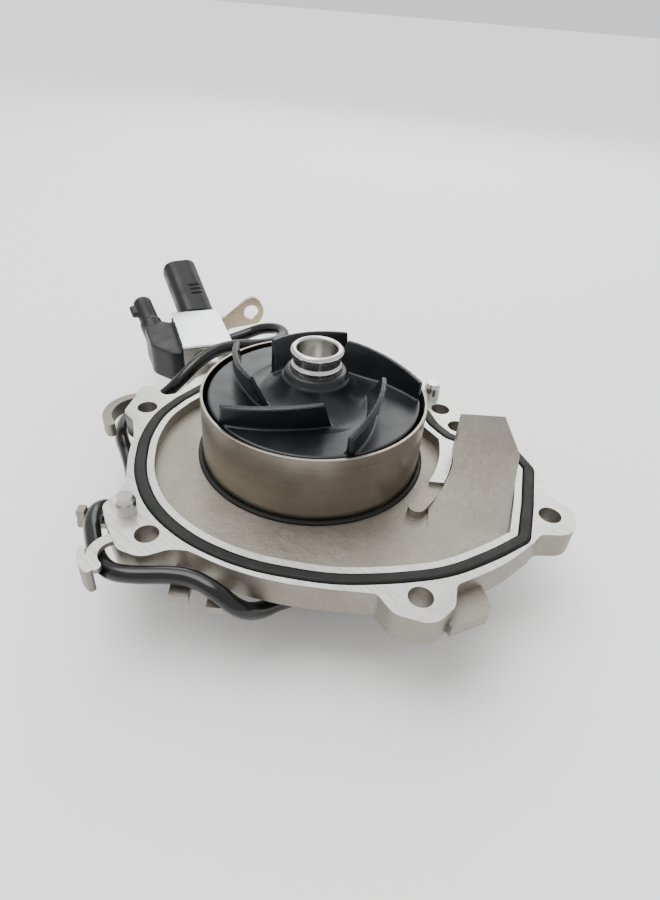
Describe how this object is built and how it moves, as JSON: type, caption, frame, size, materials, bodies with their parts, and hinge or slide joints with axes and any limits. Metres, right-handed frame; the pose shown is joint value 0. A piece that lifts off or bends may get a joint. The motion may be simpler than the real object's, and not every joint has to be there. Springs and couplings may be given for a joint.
{
  "type": "coolant water pump",
  "caption": "Belt-driven coolant pump insert with a finned impeller, a sliding regulating sleeve, a solenoid valve and a sensor lead on a cast flange.",
  "frame": {"origin": "on the impeller's axis, in the plane of the flange's mounting face", "axes": "+Z along the pump axis towards the impeller, +X towards the outlet side, +Y towards the solenoid valve"},
  "size_m": [0.1708, 0.1981, 0.0707],
  "materials": {
    "cast_body": "satin cast",
    "machined_steel": "turned",
    "sleeve_metal": "satin",
    "seal_rubber": "matte",
    "impeller_plastic": "satin gloss",
    "black_plastic": "satin",
    "zinc_plate": "bright zinc",
    "bracket_plate": "yellow passivated",
    "cable_jacket": "gloss",
    "bearing_steel": "polished",
    "spring_steel": "drawn wire",
    "copper_wire": "enamelled",
    "terminal_brass": "tinned",
    "sintered_steel": "sintered",
    "seal_carbon": "carbon"
  },
  "bodies": {
    "housing": {"housing": "cast_body", "mounting_gasket": "seal_rubber", "dowel_pins": "machined_steel", "slide_wiper_seal": "seal_rubber", "guide_rods": "machined_steel", "return_spring": "spring_steel", "spring_retainer": "machined_steel", "bearing_outer_ring": "bearing_steel", "bearing_seals": "seal_rubber", "seal_seat": "seal_carbon", "valve_yoke": "zinc_plate", "valve_body": "machined_steel", "valve_seal": "seal_rubber", "core_tube": "machined_steel", "pole_piece": "machined_steel", "valve_spring": "spring_steel", "valve_bobbin": "black_plastic", "valve_coil": "copper_wire", "valve_overmould": "black_plastic", "main_connector": "black_plastic", "connector_terminals": "terminal_brass", "eyelet_bracket": "bracket_plate", "position_sensor": "black_plastic", "sensor_screw": "zinc_plate", "harness_cable": "cable_jacket"},
    "rotor": {"pump_shaft": "machined_steel", "impeller": "impeller_plastic", "impeller_insert": "machined_steel", "seal_ring": "seal_carbon", "seal_bellows": "seal_rubber", "seal_spring": "spring_steel", "drive_pulley": "sintered_steel", "pulley_guide_disc": "machined_steel"},
    "bearing_set": {"bearing_balls": "bearing_steel", "bearing_cages": "black_plastic"},
    "slide": {"slide_sleeve": "sleeve_metal", "slide_piston": "impeller_plastic", "piston_seal": "seal_rubber", "slide_magnet": "sintered_steel"},
    "plunger": {"valve_plunger": "machined_steel"}
  },
  "joints": [
    {"name": "rotor_spin", "type": "hinge", "parent": "housing", "child": "rotor", "pos_m": [0, 0, 0], "axis": [0, 0, 1], "continuous": true},
    {"name": "bearing_spin", "type": "hinge", "parent": "housing", "child": "bearing_set", "pos_m": [0, 0, 0], "axis": [0, 0, 1], "continuous": true},
    {"name": "slide_lift", "type": "slide", "parent": "housing", "child": "slide", "axis": [0, 0, 1], "range_m": [0, 0.0075], "stiffness_N_per_m": 1500, "springref_m": -0.002, "deforming": ["return_spring"]},
    {"name": "plunger_slide", "type": "slide", "parent": "housing", "child": "plunger", "axis": [-0.3502, 0.9367, 0], "range_m": [0, 0.0025], "stiffness_N_per_m": 600, "springref_m": -0.0015}
  ],
  "couplings": [
    {"joint": "bearing_spin", "follows": "rotor_spin", "ratio": 0.396}
  ]
}
